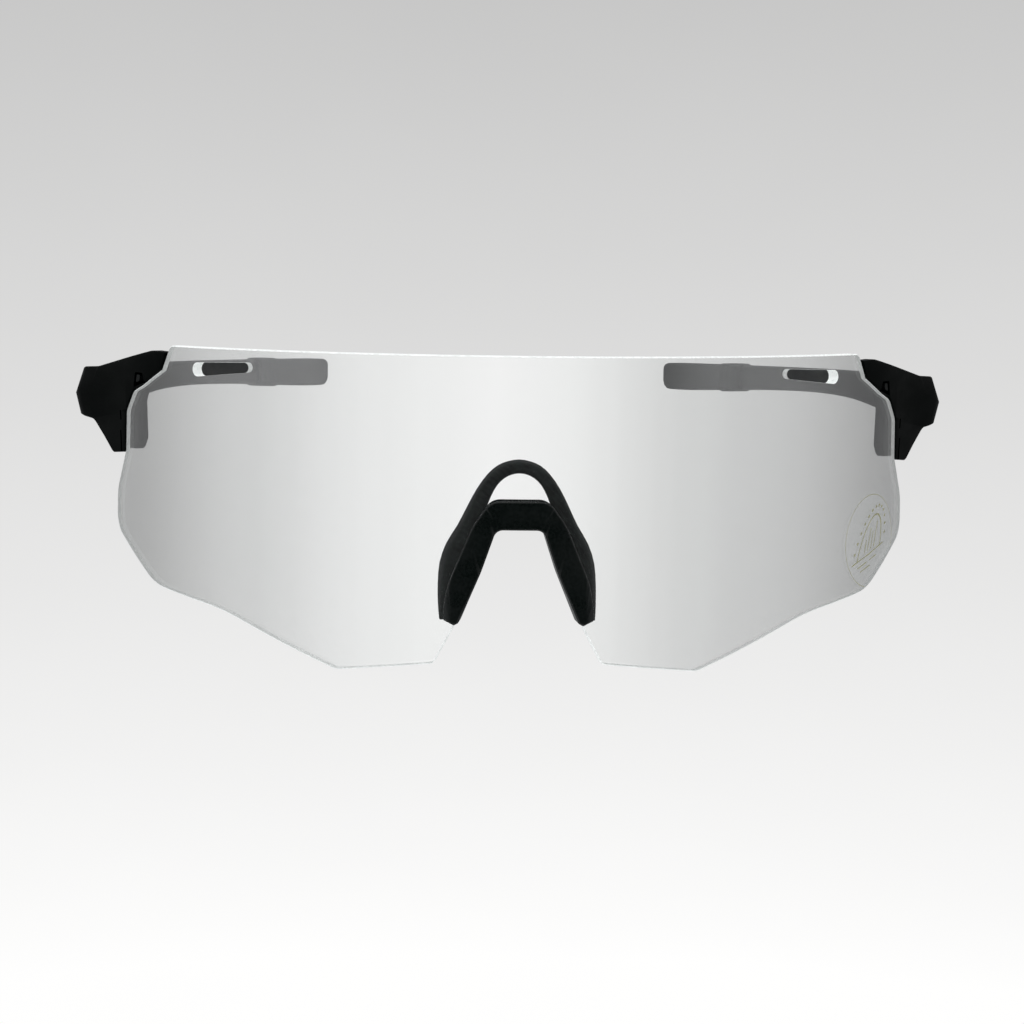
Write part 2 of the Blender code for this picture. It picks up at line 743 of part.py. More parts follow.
def make_temple_arm():
    """Right temple arm with its hinge knuckle, sock tongue and core channel."""
    rings = []
    for along in spread(GAP / 2, SOCK_START - GAP, 0.0042):
        width = station_value(ARM_WIDTH, along)
        low = station_value(ARM_BOTTOM, along)
        top = station_value(ARM_TOP, along)
        ridge = station_value(TEMPLE_RIDGE, along)
        rings.append(rounded_section(along, -width, 0.0, low, top, 0.0009, ridge))
    arm = object_from("temple_arm_right", loft(rings), PARTS, LOOKS["arm_right"])
    tongue = [
        core_section(along, TONGUE_WIDTH, TONGUE_HEIGHT)
        for along in spread(SOCK_START - 0.003, ARM_END, 0.004)
    ]
    combine(arm, cutter_from("sock_tongue", loft(tongue)), "UNION")

    for place in ("top", "bottom"):
        low, high = KNUCKLES[place]
        extra_low = 0.004 if place == "bottom" else GAP
        extra_high = 0.004 if place == "top" else GAP
        room = at_hinge(tube_body(BARREL_CLEARANCE, low - extra_low, high + extra_high, 40))
        combine(arm, cutter_from(f"{place}_knuckle_room", room), "DIFFERENCE")
    low, high = KNUCKLES["middle"]
    knuckle = at_hinge(tube_body(BARREL_RADIUS, low, high))
    combine(arm, cutter_from("middle_knuckle", knuckle), "UNION")
    bore = at_hinge(tube_body(BORE_RADIUS, HINGE_BOTTOM - 0.002, HINGE_TOP + 0.002))
    combine(arm, cutter_from("arm_bore", bore), "DIFFERENCE")
    channel = [
        core_section(along, WIRE_WIDTH + 2 * GAP, WIRE_HEIGHT + 2 * GAP)
        for along in spread(WIRE_START - GAP, ARM_END + 0.001, 0.007)
    ]
    combine(arm, cutter_from("core_channel", loft(channel)), "DIFFERENCE")
    smooth(arm)
    return arm


def make_temple_core():
    """Right temple core: a flat steel bar that keeps the sock's bend."""
    rings = [
        core_section(along, WIRE_WIDTH, WIRE_HEIGHT)
        for along in spread(WIRE_START, WIRE_END, 0.007)
    ]
    core = object_from("temple_core_right", loft(rings), PARTS, LOOKS["core"])
    smooth(core)
    return core


def make_ear_sock():
    """Right ear sock: a soft sleeve with grip ribs over the tongue and the core."""
    rings = []
    plain = SOCK_START + 2 * RIB_FIRST + RIB_SPAN
    places = spread(SOCK_START, plain, RIB_PITCH)[:-1]
    places += spread(plain, TEMPLE_REACH - TIP_ROUND, 0.0040)[:-1]
    places += [TEMPLE_REACH - TIP_ROUND * (1.0 - math.sin(math.radians(a))) for a in range(0, 91, 15)]
    for along in places:
        low = station_value(ARM_BOTTOM, along)
        top = station_value(ARM_TOP, along)
        swell = station_value(SOCK_SWELL, along)
        inner = SOCK_INNER - swell
        outer = SOCK_OUTER + swell
        into_ribs = (along - SOCK_START - RIB_FIRST) / RIB_SPAN
        if 0.0 <= into_ribs <= 1.0:
            rib = RIB_HEIGHT * math.sin(math.pi * RIB_COUNT * into_ribs) ** 2
            low -= rib
            top += rib
            inner -= rib
            outer += rib
        into_tip = (along - (TEMPLE_REACH - TIP_ROUND)) / TIP_ROUND
        if into_tip > 0.0:
            shrink = 1.0 - math.sqrt(max(0.0, 1.0 - into_tip * into_tip))
            top -= TIP_TOP * shrink
            low += TIP_LOW * shrink
            inner += TIP_SIDE * shrink
            outer -= TIP_SIDE * shrink
        rings.append(rounded_section(along, inner, outer, low, top, 0.00085))
    sock = object_from("ear_sock_right", loft(rings), PARTS, LOOKS["sock_right"])
    sleeve = [
        core_section(along, TONGUE_WIDTH + 2 * GAP, TONGUE_HEIGHT + 2 * GAP)
        for along in spread(SOCK_START - 0.001, ARM_END + GAP, 0.004)
    ]
    combine(sock, cutter_from("tongue_room", loft(sleeve)), "DIFFERENCE")
    slot = [
        core_section(along, WIRE_WIDTH + 2 * GAP, WIRE_HEIGHT + 2 * GAP)
        for along in spread(ARM_END - 0.002, WIRE_END + GAP, 0.007)
    ]
    combine(sock, cutter_from("core_room", loft(slot)), "DIFFERENCE")
    smooth(sock, 50.0)
    return sock


# ======================================================================== nose piece
NOSE_RADII = (0.0, 0.0100, 0.0300, NOSE_TOP_RADIUS - GAP)


def make_nose_clip():
    """Rigid channel that grips the lens along the nose cutout."""
    outer = [
        (0.0046, -0.02275, 0.0028), (0.0074, -0.02670, 0.0100), (0.0112, -0.03600, 0.0120),
        (0.0119, -0.03980, 0.0060), (0.0119, -0.04185, 0.0004), (0.0102, -0.04270, 0.0003),
    ]
    inner = [(0.0095, -0.04230, 0.0003), (0.0060, -0.03410, 0.0200), (0.0037, -0.02733, 0.0015)]
    right = outer + inner
    left = [(-x, z, r) for x, z, r in reversed(right)]
    clip = object_from(
        "nose_clip", prism(fillet(right + left, 8), -LIP_PROUD, CLIP_BACK, 0.0003),
        PARTS, LOOKS["clip"],
    )
    right_edge = [(x, z) for x, z, radius in LENS_HALF[-4:]]
    path = right_edge + [(-x, z) for x, z in reversed(right_edge)]
    edge = offset_path(path, GAP)
    radii = NOSE_RADII + tuple(reversed(NOSE_RADII))
    ring = [(point.x, point.y, radius) for point, radius in zip(edge, radii)]
    ring += [(-0.03, -0.055, 0.0), (-0.03, -0.005, 0.0), (0.03, -0.005, 0.0), (0.03, -0.055, 0.0)]
    slot = prism(fillet(ring), -GAP, LENS_THICKNESS + GAP)
    combine(clip, cutter_from("lens_slot", slot), "DIFFERENCE")
    bend_object(clip)
    smooth(clip)
    return clip


# inner point, outer point, front and back depth, and flare of the right half, foot first
PAD_STATIONS = [
    ((0.0105, -0.0422), (0.0124, -0.0426), 0.0037, 0.0066, 0.0002),
    ((0.0098, -0.0404), (0.0124, -0.0407), 0.0037, 0.0084, 0.0005),
    ((0.0084, -0.0373), (0.0122, -0.0375), 0.0036, 0.0104, 0.0009),
    ((0.0071, -0.0342), (0.0118, -0.0341), 0.0036, 0.0114, 0.0011),
    ((0.0061, -0.0311), (0.0109, -0.0309), 0.0036, 0.0114, 0.0009),
    ((0.0056, -0.0282), (0.0093, -0.0278), 0.0036, 0.0108, 0.0006),
    ((0.0052, -0.0252), (0.0079, -0.0246), 0.0036, 0.0098, 0.0004),
    ((0.0044, -0.0227), (0.0065, -0.0217), 0.0036, 0.0089, 0.0003),
    ((0.0034, -0.0208), (0.0049, -0.0194), 0.0036, 0.0085, 0.0003),
    ((0.0023, -0.0197), (0.0034, -0.0180), 0.0036, 0.0083, 0.0003),
    ((0.0012, -0.0191), (0.0018, -0.0172), 0.0036, 0.0082, 0.0002),
    ((0.0000, -0.0189), (0.0000, -0.0169), 0.0036, 0.0082, 0.0002),
]
PAD_RING_POINTS = 20
PAD_SQUARENESS = 0.62


def pad_value(field, place):
    """A smooth pad dimension, mirrored about the top of the arch."""
    count = len(PAD_STATIONS) - 1
    table = []
    for index in range(2 * count + 1):
        mirrored = index > count
        station = PAD_STATIONS[2 * count - index if mirrored else index]
        table.append((float(index), field(station, -1.0 if mirrored else 1.0)))
    return station_value(table, place)


def make_nose_pad():
    """Soft rubber arch and wings behind the lens."""
    fields = {
        "inner_x": lambda station, side: station[0][0] * side,
        "inner_z": lambda station, side: station[0][1],
        "outer_x": lambda station, side: station[1][0] * side,
        "outer_z": lambda station, side: station[1][1],
        "front": lambda station, side: station[2],
        "back": lambda station, side: station[3],
        "flare": lambda station, side: station[4],
    }
    rings = []
    steps = 2 * 2 * (len(PAD_STATIONS) - 1)
    for step in range(steps + 1):
        place = step / 2.0
        value = {name: pad_value(field, place) for name, field in fields.items()}
        inner = Vector((value["inner_x"], value["inner_z"]))
        outer = Vector((value["outer_x"], value["outer_z"]))
        middle = (inner + outer) / 2.0
        half = (outer - inner) / 2.0
        outward = half.normalized()
        depth_middle = (value["front"] + value["back"]) / 2.0
        depth_half = (value["back"] - value["front"]) / 2.0
        ring = []
        for index in range(PAD_RING_POINTS):
            angle = math.tau * index / PAD_RING_POINTS
            c = math.copysign(abs(math.cos(angle)) ** PAD_SQUARENESS, math.cos(angle))
            s = math.copysign(abs(math.sin(angle)) ** PAD_SQUARENESS, math.sin(angle))
            flare = outward * (value["flare"] * (s + 1.0) / 2.0)
            spot = middle + half * c + flare
            sag = LENS_RADIUS - math.sqrt(LENS_RADIUS ** 2 - spot.x ** 2)
            depth = FRONT_Y + sag + depth_middle + depth_half * s
            ring.append(Vector((spot.x, depth, spot.y + LENS_TOP)))
        rings.append(ring)
    pad = object_from("nose_pad", loft(rings), PARTS, LOOKS["pad"])
    smooth(pad, 60.0)
    return pad


# ======================================================================== assembly
def mirrored_copy(source, name, look):
    """The left-hand twin of a right-hand piece."""
    twin = bmesh.new()
    twin.from_mesh(source.data)
    bmesh.ops.scale(twin, verts=twin.verts, vec=(-1.0, 1.0, 1.0))
    bmesh.ops.reverse_faces(twin, faces=twin.faces)
    made = object_from(name, twin, PARTS, look)
    smooth(made)
    return made


def put_origin_on_axis(target, side):
    """Move the object's origin to the foot of its hinge axis."""
    axis, _, _ = hinge_frame()
    origin = Vector((axis.x * side, axis.y, LENS_TOP + (HINGE_TOP + HINGE_BOTTOM) / 2.0))
    target.data.transform(Matrix.Translation(-origin))
    target.location = origin


clear_scene()
PARTS = collection(OBJECT_NAME)
CUTTERS = collection("cutters")

BLACK = (0.012, 0.013, 0.013)
RUBBER_BLACK = (0.022, 0.024, 0.023)
STEEL = (0.60, 0.60, 0.62)
LOOKS = {
    "lens": material("clear_lens", (0.86, 0.89, 0.88), 0.03, 0.0, 0.30),
    "film": material("peel_off_film", (0.72, 0.74, 0.66), 0.30, 0.0, 0.40),
    "clip": material("nose_clip_nylon", BLACK, 0.32),
    "pad": material("nose_pad_rubber", RUBBER_BLACK, 0.70),
    "screw": material("screw_steel", STEEL, 0.28, 1.0),
    "nut": material("nut_brass", (0.70, 0.55, 0.28), 0.35, 1.0),
    "core": material("core_steel", STEEL, 0.35, 1.0),
}
for hand in ("right", "left"):
    LOOKS[f"frame_{hand}"] = material(f"end_piece_nylon_{hand}", BLACK, 0.30)
    LOOKS[f"bracket_{hand}"] = material(f"bracket_nylon_{hand}", BLACK, 0.45)
    LOOKS[f"arm_{hand}"] = material(f"temple_nylon_{hand}", BLACK, 0.35)
    LOOKS[f"sock_{hand}"] = material(f"sock_rubber_{hand}", RUBBER_BLACK, 0.72)

make_lens()
make_sticker()
make_nose_clip()
make_nose_pad()

PAIRED = (
    (make_end_piece, "end_piece_left", "frame_left", False),
    (make_bracket, "lens_bracket_left", "bracket_left", False),
    (make_upper_screw, "bracket_screw_upper_left", "screw", False),
    (make_lower_screw, "bracket_screw_lower_left", "screw", False),
    (make_hinge_screw, "hinge_screw_left", "screw", False),
    (make_hinge_nut, "hinge_nut_left", "nut", False),
    (make_temple_arm, "temple_arm_left", "arm_left", True),
    (make_temple_core, "temple_core_left", "core", True),
    (make_ear_sock, "ear_sock_left", "sock_left", True),
)
for maker, twin_name, twin_look, moves in PAIRED:
    right_piece = maker()
    left_piece = mirrored_copy(right_piece, twin_name, LOOKS[twin_look])
    if moves:
        put_origin_on_axis(right_piece, 1.0)
        put_origin_on_axis(left_piece, -1.0)
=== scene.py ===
"""Looks for the wraparound sport sunglasses: materials, printed film marks, studio and camera."""

import json
import math

import bmesh
import bpy
from mathutils import Matrix, Vector

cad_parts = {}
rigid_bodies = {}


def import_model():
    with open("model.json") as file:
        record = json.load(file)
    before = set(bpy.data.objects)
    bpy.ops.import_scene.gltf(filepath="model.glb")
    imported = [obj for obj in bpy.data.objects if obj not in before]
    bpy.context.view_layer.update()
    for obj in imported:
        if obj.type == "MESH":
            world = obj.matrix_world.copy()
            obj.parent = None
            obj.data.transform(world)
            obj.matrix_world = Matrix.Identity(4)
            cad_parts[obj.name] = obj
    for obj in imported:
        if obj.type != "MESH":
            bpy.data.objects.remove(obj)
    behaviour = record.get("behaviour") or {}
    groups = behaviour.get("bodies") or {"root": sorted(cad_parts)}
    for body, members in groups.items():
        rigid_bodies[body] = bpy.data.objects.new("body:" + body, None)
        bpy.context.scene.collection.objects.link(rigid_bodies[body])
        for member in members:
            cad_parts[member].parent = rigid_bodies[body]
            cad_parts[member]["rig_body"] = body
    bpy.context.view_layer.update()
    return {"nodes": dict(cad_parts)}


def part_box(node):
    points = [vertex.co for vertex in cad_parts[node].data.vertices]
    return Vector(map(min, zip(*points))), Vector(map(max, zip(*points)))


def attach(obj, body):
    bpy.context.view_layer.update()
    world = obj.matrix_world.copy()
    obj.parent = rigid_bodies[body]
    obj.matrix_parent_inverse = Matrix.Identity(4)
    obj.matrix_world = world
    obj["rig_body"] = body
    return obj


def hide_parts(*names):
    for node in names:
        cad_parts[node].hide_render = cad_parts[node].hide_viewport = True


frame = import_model()

MM = 0.001

# ---- where things are, from the CAD ---------------------------------------------------------
LENS_LOW, LENS_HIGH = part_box("shield_lens")
LENS_FRONT = LENS_LOW.y
LENS_TOP = LENS_HIGH.z
LENS_RADIUS = 82.0 * MM
LENS_AXIS_Y = LENS_FRONT + LENS_RADIUS
WRAP_ARC = 79.2 * MM          # where the round wrap ends and the flat end begins
WRAP_TURN = WRAP_ARC / LENS_RADIUS

# ---- camera ---------------------------------------------------------------------------------
CAMERA_SIDE = -11.8 * MM
CAMERA_DISTANCE = 300.0 * MM
CAMERA_RISE = 13.85 * MM
CAMERA_YAW = math.radians(-2.01)
CAMERA_PITCH = math.radians(7.28)
CAMERA_ROLL = math.radians(0.79)
FOCAL_LENGTH = 67.5
SENSOR_WIDTH = 36.0


# ---- node helpers ---------------------------------------------------------------------------
class Nodes:
    """A material's node tree, with short calls for adding and linking nodes."""

    def __init__(self, tree):
        self.tree = tree
        tree.nodes.clear()

    def add(self, kind, inputs=None, **settings):
        """Adds a node. inputs maps a socket's name or number to a value or to another output."""
        node = self.tree.nodes.new("ShaderNode" + kind)
        for key, value in settings.items():
            setattr(node, key, value)
        for key, value in (inputs or {}).items():
            if isinstance(value, bpy.types.NodeSocket):
                self.tree.links.new(value, node.inputs[key])
            else:
                node.inputs[key].default_value = value
        return node

    def math(self, operation, first, second=0.0, third=0.0, clamp=False):
        """The result of a Math node, from numbers or outputs."""
        inputs = {0: first, 1: second, 2: third}
        return self.add("Math", inputs, operation=operation, use_clamp=clamp).outputs[0]

    def between(self, value, low, high, to_low=0.0, to_high=1.0, smooth=True):
        """value mapped from low..high to to_low..to_high, and held at the ends."""
        kind = "SMOOTHSTEP" if smooth else "LINEAR"
        inputs = {"Value": value, "From Min": low, "From Max": high}
        inputs.update({"To Min": to_low, "To Max": to_high})
        return self.add("MapRange", inputs, interpolation_type=kind).outputs["Result"]

    def colour(self, share, first, second):
        """The mix of two colours."""
        node = self.add("Mix", data_type="RGBA")
        self.tree.links.new(share, node.inputs[0])
        for socket, value in ((node.inputs[6], first), (node.inputs[7], second)):
            if isinstance(value, bpy.types.NodeSocket):
                self.tree.links.new(value, socket)
            else:
                socket.default_value = (*value, 1.0)
        return node.outputs[2]

    def place(self, stretch=(1.0, 1.0, 1.0)):
        """The piece's own coordinates, in metres, stretched."""
        coordinates = self.add("TexCoord").outputs["Object"]
        return self.add("Mapping", {"Vector": coordinates, "Scale": stretch}).outputs[0]

    def noise(self, size, detail=3.0, stretch=(1.0, 1.0, 1.0)):
        """A noise between 0 and 1 whose features are about size metres across."""
        inputs = {"Vector": self.place(stretch), "Scale": 1.0 / size, "Detail": detail}
        return self.add("TexNoise", inputs).outputs[0]

    def bump(self, height, depth, strength, normal=None):
        """A normal tilted by a relief that is depth metres deep, on top of any other normal."""
        inputs = {"Height": height, "Distance": depth, "Strength": strength}
        if normal is not None:
            inputs["Normal"] = normal
        return self.add("Bump", inputs).outputs[0]

    def out(self, surface):
        """Links a shader to the material's output."""
        self.add("OutputMaterial", {"Surface": surface})


def new_material(name):
    """An empty material and the short calls for its node tree."""
    material = bpy.data.materials.new(name)
    material.use_nodes = True
    return material, Nodes(material.node_tree)


# ---- materials ------------------------------------------------------------------------------
FLOW_SIZE = 6.0 * MM
FLOW_STRETCH = (1.0, 1.0, 2.5)      # flow marks are flatter than they are long
FLOW_DEPTH = 0.03 * MM
SPECK_SIZE = 0.4 * MM
SPECK_GLOSS = 0.03                  # how far specks change the roughness, up or down

DUST_SIZE = 1.6 * MM
SKIN_SIZE = 0.12 * MM
SKIN_DEPTH = 0.010 * MM
HATCH_SCALE = 0.16                  # the hatch lines come out about 2.3 times hatch apart
HATCH_DEPTH = 0.012 * MM

BRUSH_SIZE = 0.05 * MM
BRUSH_DEPTH = 0.004 * MM
STAIN_SIZE = 0.9 * MM


def moulded_plastic(name, dark, light, roughness, grain, depth, specular):
    """Black moulded nylon: a fine spark-eroded grain, soft flow marks and uneven gloss."""
    material, n = new_material(name)
    flow = n.noise(FLOW_SIZE, 4.0, FLOW_STRETCH)
    cells = n.noise(grain, 2.0)
    speck = n.noise(SPECK_SIZE, 2.0)
    gloss = n.between(flow, 0.3, 0.7, roughness[0], roughness[1])
    gloss = n.math("ADD", gloss, n.between(speck, 0.35, 0.65, -SPECK_GLOSS, SPECK_GLOSS))
    normal = n.bump(cells, depth, 0.6)
    normal = n.bump(flow, FLOW_DEPTH, 0.25, normal)
    shader = n.add("BsdfPrincipled", {
        "Base Color": n.colour(n.between(speck, 0.3, 0.7), dark, light),
        "Roughness": gloss,
        "Normal": normal,
        "IOR": 1.5,
        "Specular IOR Level": specular,
    })
    n.out(shader.outputs[0])
    return material


def rubber(name, dark, light, hatch, specular, sheen):
    """Matte thermoplastic rubber with fine diagonal lines and faint dust."""
    material, n = new_material(name)
    dust = n.noise(DUST_SIZE, 5.0)
    skin = n.noise(SKIN_SIZE, 2.0)
    wave_inputs = {"Vector": n.place(), "Scale": HATCH_SCALE / hatch, "Distortion": 1.2,
                   "Detail": 1.0, "Detail Scale": 3.0}
    lines = n.add("TexWave", wave_inputs, wave_type="BANDS",
                  bands_direction="DIAGONAL").outputs[1]
    normal = n.bump(lines, HATCH_DEPTH, 0.7)
    normal = n.bump(skin, SKIN_DEPTH, 0.8, normal)
    shade = n.math("MULTIPLY_ADD", lines, 0.35, n.between(dust, 0.35, 0.75, 0.0, 0.65))
    shader = n.add("BsdfPrincipled", {
        "Base Color": n.colour(shade, dark, light),
        "Roughness": n.between(dust, 0.3, 0.7, 0.52, 0.68),
        "Normal": normal,
        "Specular IOR Level": specular,
        "Sheen Weight": sheen,
        "Sheen Roughness": 0.4,
    })
    n.out(shader.outputs[0])
    return material


def metal(name, first, second, roughness, brush):
    """Machined metal with fine brush marks and a little staining."""
    material, n = new_material(name)
    marks = n.noise(BRUSH_SIZE, 3.0, brush)
    stain = n.noise(STAIN_SIZE, 4.0)
    shader = n.add("BsdfPrincipled", {
        "Base Color": n.colour(n.between(stain, 0.3, 0.7), first, second),
        "Metallic": 1.0,
        "Roughness": n.between(marks, 0.25, 0.75, roughness[0], roughness[1]),
        "Normal": n.bump(marks, BRUSH_DEPTH, 0.5),
    })
    n.out(shader.outputs[0])
    return material


# The tint: (distance from the tint's middle as a share of TINT_REACH, light let through).
TINT_REACH = 74.0 * MM
TINT_STOPS = (
    (0.0, 1.0), (0.16, 0.94), (0.257, 0.85), (0.345, 0.69), (0.432, 0.58), (0.527, 0.512),
    (0.66, 0.462), (0.84, 0.41), (1.0, 0.36),
)
SHADE_SHIFTED_MIDDLE = -4.0 * MM       # off the lens's middle, to match uneven light: painted shade that darkens the right end
TINT_COLOUR = (1.0, 1.006, 1.002)
LENS_IOR = 1.58
STREAK_SIZE = 9.0 * MM
STREAK_TINT = 0.008           # how far the streaks shift the tint along its curve
WAVE_SIZE = 14.0 * MM
WAVE_DEPTH = 0.02 * MM
SMUDGE_SIZE = 3.0 * MM
LENS_SHADOW = (0.86, 0.87, 0.87, 1.0)
EDGE_PAINTED_GLOW = 0.30              # painted glow, standing in for the light that the sheet gathers and its cut edge gives off


def lens_glass():
    """Polycarbonate under a glossy coat: clear in the middle, darker towards the ends, more so on
    the right as painted shade.
    """
    material, n = new_material("lens_polycarbonate")
    across = n.add("SeparateXYZ", {0: n.place()})
    # Darker towards the ends; the middle is shifted left, so the right end gets painted shade.
    reach = n.math("ABSOLUTE", n.math("SUBTRACT", across.outputs[0], SHADE_SHIFTED_MIDDLE))
    darkening = n.between(reach, 0.0, TINT_REACH, 0.0, 1.0, smooth=False)
    streaks = n.noise(STREAK_SIZE, 2.0, (1.0, 0.001, 0.001))
    shift = n.between(streaks, 0.3, 0.7, -STREAK_TINT, STREAK_TINT)
    darkening = n.math("ADD", darkening, shift, clamp=True)
    ramp = n.add("ValToRGB", {0: darkening})
    elements = ramp.color_ramp.elements
    elements[0].position, elements[1].position = TINT_STOPS[0][0], TINT_STOPS[-1][0]
    for position, _ in TINT_STOPS[1:-1]:
        elements.new(position)
    for element, (_, value) in zip(elements, TINT_STOPS):
        element.color = (*[min(value * part, 1.0) for part in TINT_COLOUR], 1.0)
    wave = n.noise(WAVE_SIZE, 1.0)
    smudge = n.noise(SMUDGE_SIZE, 5.0)
    shader = n.add("BsdfPrincipled", {
        "Base Color": ramp.outputs[0],
        "Roughness": n.between(smudge, 0.45, 0.8, 0.0, 0.03),
        "IOR": LENS_IOR,
        "Transmission Weight": 1.0,
        "Normal": n.bump(wave, WAVE_DEPTH, 0.2),
        "Coat Weight": 0.8,
        "Coat IOR": 1.6,
        "Coat Roughness": 0.03,
    })
    clear = n.add("BsdfTransparent", {"Color": LENS_SHADOW})
    shadow = n.add("LightPath").outputs["Is Shadow Ray"]
    mix = n.add("MixShader", {0: shadow, 1: shader.outputs[0], 2: clear.outputs[0]})
    n.out(mix.outputs[0])
    return material


def lens_edge():
    """The cut edge of the lens: opaque and pale, with a faint painted glow."""
    material, n = new_material("lens_edge")
    cut = n.noise(0.22 * MM, 3.0, (1.0, 1.0, 0.3))
    pale = n.colour(n.between(cut, 0.3, 0.7), (0.62, 0.64, 0.63), (0.92, 0.94, 0.93))
    shader = n.add("BsdfPrincipled", {
        "Base Color": pale,
        "Roughness": n.between(cut, 0.3, 0.7, 0.34, 0.52),
        "IOR": LENS_IOR,
        "Normal": n.bump(cut, 0.006 * MM, 0.5),
        # painted glow: the edge gives off its own pale colour as light
        "Emission Color": pale,
        "Emission Strength": EDGE_PAINTED_GLOW,
    })
    n.out(shader.outputs[0])
    return material


def film_plastic():
    """The clear peel-off film: nearly invisible, with tiny creases and a soft painted sheen where
    it is seen edge-on.
    """
    material, n = new_material("film_plastic")
    crease = n.noise(1.5 * MM, 4.0)
    painted_sheen = n.add("LayerWeight", {"Blend": 0.35}).outputs["Facing"]
    shader = n.add("BsdfPrincipled", {
        "Base Color": n.colour(crease, (0.62, 0.65, 0.63), (0.74, 0.76, 0.74)),
        "Roughness": n.between(crease, 0.3, 0.7, 0.18, 0.34),
        "Normal": n.bump(crease, 0.01 * MM, 0.3),
        "IOR": 1.45,
        # Faintly pale all over, and more so seen edge-on: a painted sheen.
        "Alpha": n.between(painted_sheen, 0.0, 1.0, 0.03, 0.14),
    })
    n.out(shader.outputs[0])
    return material


def film_ink():
    """Thin olive ink, unevenly laid."""
    material, n = new_material("film_ink")
    patch = n.noise(0.5 * MM, 3.0)
    shader = n.add("BsdfPrincipled", {
        "Base Color": n.colour(patch, (0.20, 0.19, 0.055), (0.36, 0.34, 0.12)),
        "Roughness": n.between(patch, 0.3, 0.7, 0.45, 0.6),
        "Alpha": n.between(patch, 0.25, 0.75, 0.70, 0.98),
    })
    n.out(shader.outputs[0])
    return material


MATERIALS = {
    "frame_nylon": moulded_plastic(
        "frame_nylon", dark=(0.0005, 0.0009, 0.0008), light=(0.0012, 0.002, 0.0017),
        roughness=(0.34, 0.46), grain=0.11 * MM, depth=0.003 * MM, specular=0.012),
    "bracket_nylon": moulded_plastic(
        "bracket_nylon", dark=(0.001, 0.0015, 0.0015), light=(0.003, 0.004, 0.004),
        roughness=(0.40, 0.52), grain=0.14 * MM, depth=0.004 * MM, specular=0.06),
    "temple_nylon": moulded_plastic(
        "temple_nylon", dark=(0.003, 0.004, 0.004), light=(0.016, 0.017, 0.017),
        roughness=(0.34, 0.50), grain=0.13 * MM, depth=0.004 * MM, specular=0.22),
    "nose_clip": moulded_plastic(
        "nose_clip", dark=(0.001, 0.0025, 0.002), light=(0.003, 0.005, 0.0045),
        roughness=(0.26, 0.38), grain=0.10 * MM, depth=0.004 * MM, specular=0.20),
    "nose_pad": rubber(
        "nose_pad", dark=(0.002, 0.0035, 0.003), light=(0.016, 0.021, 0.0195),
        hatch=0.30 * MM, specular=0.06, sheen=0.01),
    "sock_rubber": rubber(
        "sock_rubber", dark=(0.006, 0.007, 0.007), light=(0.016, 0.018, 0.017),
        hatch=0.30 * MM, specular=0.20, sheen=0.02),
    "screw_steel": metal(
        "screw_steel", first=(0.52, 0.53, 0.54), second=(0.40, 0.41, 0.42),
        roughness=(0.18, 0.34), brush=(1.0, 1.0, 0.1)),
    "core_steel": metal(
        "core_steel", first=(0.50, 0.51, 0.52), second=(0.42, 0.42, 0.43),
        roughness=(0.22, 0.40), brush=(1.0, 0.08, 1.0)),
    "nut_brass": metal(
        "nut_brass", first=(0.62, 0.44, 0.16), second=(0.50, 0.34, 0.12),
        roughness=(0.22, 0.38), brush=(1.0, 1.0, 0.1)),
    "lens": lens_glass(),
    "lens_edge": lens_edge(),
    "film": film_plastic(),
    "film_ink": film_ink(),
}


# ---- pieces ---------------------------------------------------------------------------------
SMOOTH_ANGLE = math.radians(50.0)
MERGE_DISTANCE = 0.001 * MM
LENS_STRIP = 0.65 * MM
CUT_SNAP = 0.0005 * MM              # corners this near a cut count as lying on it
SHEET_FACING = 0.9                  # a face that looks this squarely forward or back is the sheet
EDGE_ANGLE = math.radians(40.0)     # cut-edge faces that meet at less than this are shaded as one


def welded_copy(name):
    """A bmesh of a CAD node's mesh, with its split corners joined again."""
    shape = bmesh.new()
    shape.from_mesh(frame["nodes"][name].data)
    bmesh.ops.remove_doubles(shape, verts=shape.verts, dist=MERGE_DISTANCE)
    return shape


def skin_mesh(name, shape, materials):
    """A smooth-shaded mesh made from a bmesh, which is used up."""
    mesh = bpy.data.meshes.new(name)
    shape.to_mesh(mesh)
    shape.free()
    for attribute in [a for a in mesh.attributes if a.name == "custom_normal"]:
        mesh.attributes.remove(attribute)
    mesh.shade_smooth()
    for material in materials:
        mesh.materials.append(material)
    return mesh


def stand_in(name, mesh):
    """A piece that stands for a CAD node and has the same solid shape."""
    source = frame["nodes"][name]
    piece = bpy.data.objects.new(name + "_skin", mesh)
    bpy.context.scene.collection.objects.link(piece)
    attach(piece, source["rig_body"])
    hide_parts(name)
    return piece


def lens_to_flat(point):
    """(arc, depth, z) of a point of the lens: a round wrap with a flat end at each side."""
    side = -1.0 if point.x < 0.0 else 1.0
    turn = math.atan2(abs(point.x), LENS_AXIS_Y - point.y)
    if turn <= WRAP_TURN:
        radius = math.hypot(point.x, LENS_AXIS_Y - point.y)
        return Vector((side * turn * LENS_RADIUS, LENS_RADIUS - radius, point.z))
    out = abs(point.x) - LENS_RADIUS * math.sin(WRAP_TURN)
    back = point.y - LENS_AXIS_Y + LENS_RADIUS * math.cos(WRAP_TURN)
    along = out * math.cos(WRAP_TURN) + back * math.sin(WRAP_TURN)
    depth = back * math.cos(WRAP_TURN) - out * math.sin(WRAP_TURN)
    return Vector((side * (WRAP_ARC + along), depth, point.z))


def lens_to_round(flat):
    """The inverse of lens_to_flat."""
    side = -1.0 if flat.x < 0.0 else 1.0
    turn = min(abs(flat.x), WRAP_ARC) / LENS_RADIUS
    spare = max(abs(flat.x) - WRAP_ARC, 0.0)
    radius = LENS_RADIUS - flat.y
    x = radius * math.sin(turn) + spare * math.cos(turn)
    y = LENS_AXIS_Y - radius * math.cos(turn) + spare * math.sin(turn)
    return Vector((side * x, y, flat.z))


